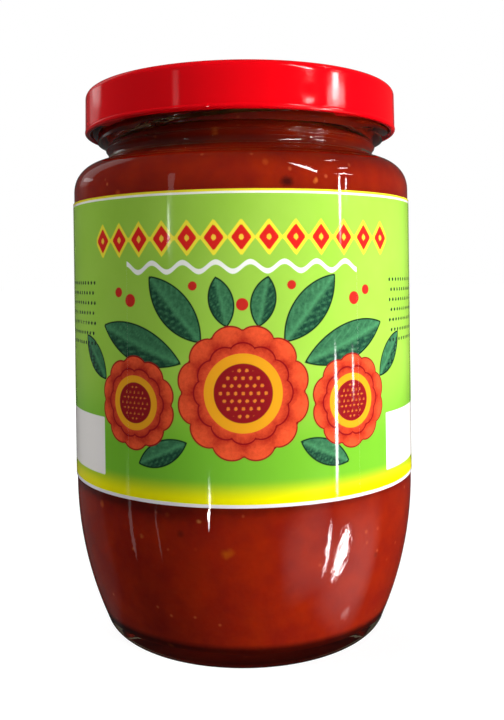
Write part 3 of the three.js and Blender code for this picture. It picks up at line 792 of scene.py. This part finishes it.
def softbox(name, azimuth, elevation, half_width, half_height, radiance,
            mirrored=True, roll=0, ragged=0.0, edge=0.45):
    """A rectangular lamp that faces the jar's middle. Its direction and half sizes are angles in degrees as
    the jar sees them, and its power is pi times radiance times area. mirrored says whether gloss shows it."""
    lamp = bpy.data.lights.new(name, "AREA")
    lamp.shape = "RECTANGLE"
    lamp.size = 2 * LAMP_DISTANCE * math.tan(math.radians(half_width))
    lamp.size_y = 2 * LAMP_DISTANCE * math.tan(math.radians(half_height))
    lamp.energy = math.pi * radiance * lamp.size * lamp.size_y
    if mirrored:
        shade_lamp(lamp, ragged, edge)
    made = bpy.data.objects.new(name, lamp)
    bpy.context.scene.collection.objects.link(made)
    a, e = math.radians(azimuth), math.radians(elevation)
    away = (math.sin(a) * math.cos(e), -math.cos(a) * math.cos(e), math.sin(e))
    made.location = [LAMP_DISTANCE * x + m for x, m in zip(away, LAMP_AIM)]
    facing = Matrix.Rotation(a, 3, "Z") @ Matrix.Rotation(math.radians(90) - e, 3, "X")
    made.rotation_euler = (facing @ Matrix.Rotation(math.radians(roll), 3, "Z")).to_euler()
    made.visible_glossy = mirrored
    made.visible_camera = made.visible_transmission = False
    lamp.cycles.use_multiple_importance_sampling = mirrored


def surroundings():
    """A white room for the camera, and a dim one for everything else, brownish where glass is looked
    through."""
    world = bpy.data.worlds.new("studio")
    world.use_nodes = True
    t = world.node_tree
    t.nodes.clear()
    upwards = add(t, "SeparateXYZ", {0: add(t, "TexCoord").outputs["Generated"]}).outputs[2]
    above = add(t, "MapRange", {"Value": upwards, "From Min": -0.5, "From Max": 0.1, "To Min": 0.02,
                                "To Max": 0.06}, interpolation_type="SMOOTHSTEP")
    behind = add(t, "MapRange", {"Value": upwards, "From Min": -0.3, "From Max": 0.1, "To Min": 0.02,
                                 "To Max": 0.16}, interpolation_type="SMOOTHSTEP")
    white = add(t, "Background", {"Color": paint("#ffffff"), "Strength": 1.0})
    dim = add(t, "Background", {"Color": paint("#ffffff"), "Strength": above.outputs[0]})
    through = add(t, "Background", {"Color": paint("#e6cdac"), "Strength": behind.outputs[0]})
    path = add(t, "LightPath")
    rest = add(t, "MixShader", {0: path.outputs["Is Transmission Ray"], 1: dim.outputs[0],
                                2: through.outputs[0]})
    both = add(t, "MixShader", {0: path.outputs["Is Camera Ray"], 1: rest.outputs[0], 2: white.outputs[0]})
    add(t, "OutputWorld", {0: both.outputs[0]})
    bpy.context.scene.world = world


pale_floor()
surroundings()
# Lamps that light the matt surfaces and don't show in gloss: the key from the right, fills from the left and
# from behind, and a low glow from both sides, as off a bright floor.
softbox("key", 60, 14, 14, 18, 13.5, mirrored=False)
softbox("fill_left", -88, 32, 14, 12, 9.8, mirrored=False)
softbox("fill_back", 200, 30, 16, 14, 5.0, mirrored=False)
softbox("floor_glow", 72, -14, 20, 6, 3.1, mirrored=False)
softbox("floor_glow_left", -92, -12, 20, 6, 1.2, mirrored=False)
# Narrow lamps that gloss shows as streaks, and dim wide ones that it shows as haze.
softbox("window", 70.5, 16.8, 2.8, 1.3, 26)
softbox("window_low", 71.0, 15.6, 8.0, 0.8, 9)
softbox("window_spot", 49.5, 20.5, 2.4, 1.6, 40)
softbox("window_upper", 66.5, 8.0, 1.5, 6.5, 34, ragged=0.4)
softbox("window_inner", 71.5, 9.0, 1.1, 5.0, 26, ragged=0.5)
softbox("window_lower", 60.5, -10, 1.5, 8.0, 48, ragged=0.4)
softbox("window_side", 74.5, -7, 1.1, 3.5, 30, ragged=0.5)
softbox("curtain", 69.5, -30.5, 9.0, 15, 48, roll=-12, ragged=0.62)
softbox("curtain_edge", 57.5, -29, 2.4, 13, 26, ragged=0.55)
softbox("curtain_foot", 92, -46, 6, 4, 1.6, ragged=0.6)
softbox("shelf", 44.5, 32, 4.0, 21, 26, roll=20, ragged=0.45)
softbox("shelf_top", 84, 50, 9, 3.2, 16, roll=-15, ragged=0.6)
softbox("shelf_right", 76, 30, 7, 3.0, 12, ragged=0.5)
softbox("door", -22.5, -18.5, 1.0, 6.5, 50, ragged=0.5)
softbox("door_upper", -44.5, 10, 2.4, 9.5, 0.8)
softbox("door_middle", -45.5, 4.5, 1.4, 3.2, 12, ragged=0.5)
softbox("post", -80, -22, 2.2, 14, 0.7, ragged=0.4)
softbox("post_far", -58, -24, 1.2, 12, 0.6, ragged=0.4)
softbox("wall_left", -131, 29, 12, 22, 0.34)
softbox("wall_left_lid", -126, 16.5, 9, 2.2, 0.9)
softbox("wall_left_low", -128, -20, 22, 20, 0.045)
softbox("wall_right", 44, -30, 19, 18, 0.5, roll=24, edge=0.9)
softbox("wall_side", 80, -34, 24, 20, 0.62, edge=1.0)

# The camera looks level from 79 mm above the floor, rolled by under a degree, with its picture shifted down.
lens = bpy.data.cameras.new("camera")
lens.sensor_width, lens.lens = 36, 40.925
lens.shift_x, lens.shift_y = 0.0142, -0.1183
lens.clip_start, lens.clip_end = 0.01, 20
camera = bpy.data.objects.new("camera", lens)
camera.location = (0, -0.194, 0.079)
camera.rotation_euler = (math.radians(90), math.radians(0.72), 0)
bpy.context.scene.collection.objects.link(camera)
bpy.context.scene.camera = camera
bpy.context.scene.view_settings.view_transform = "Standard"
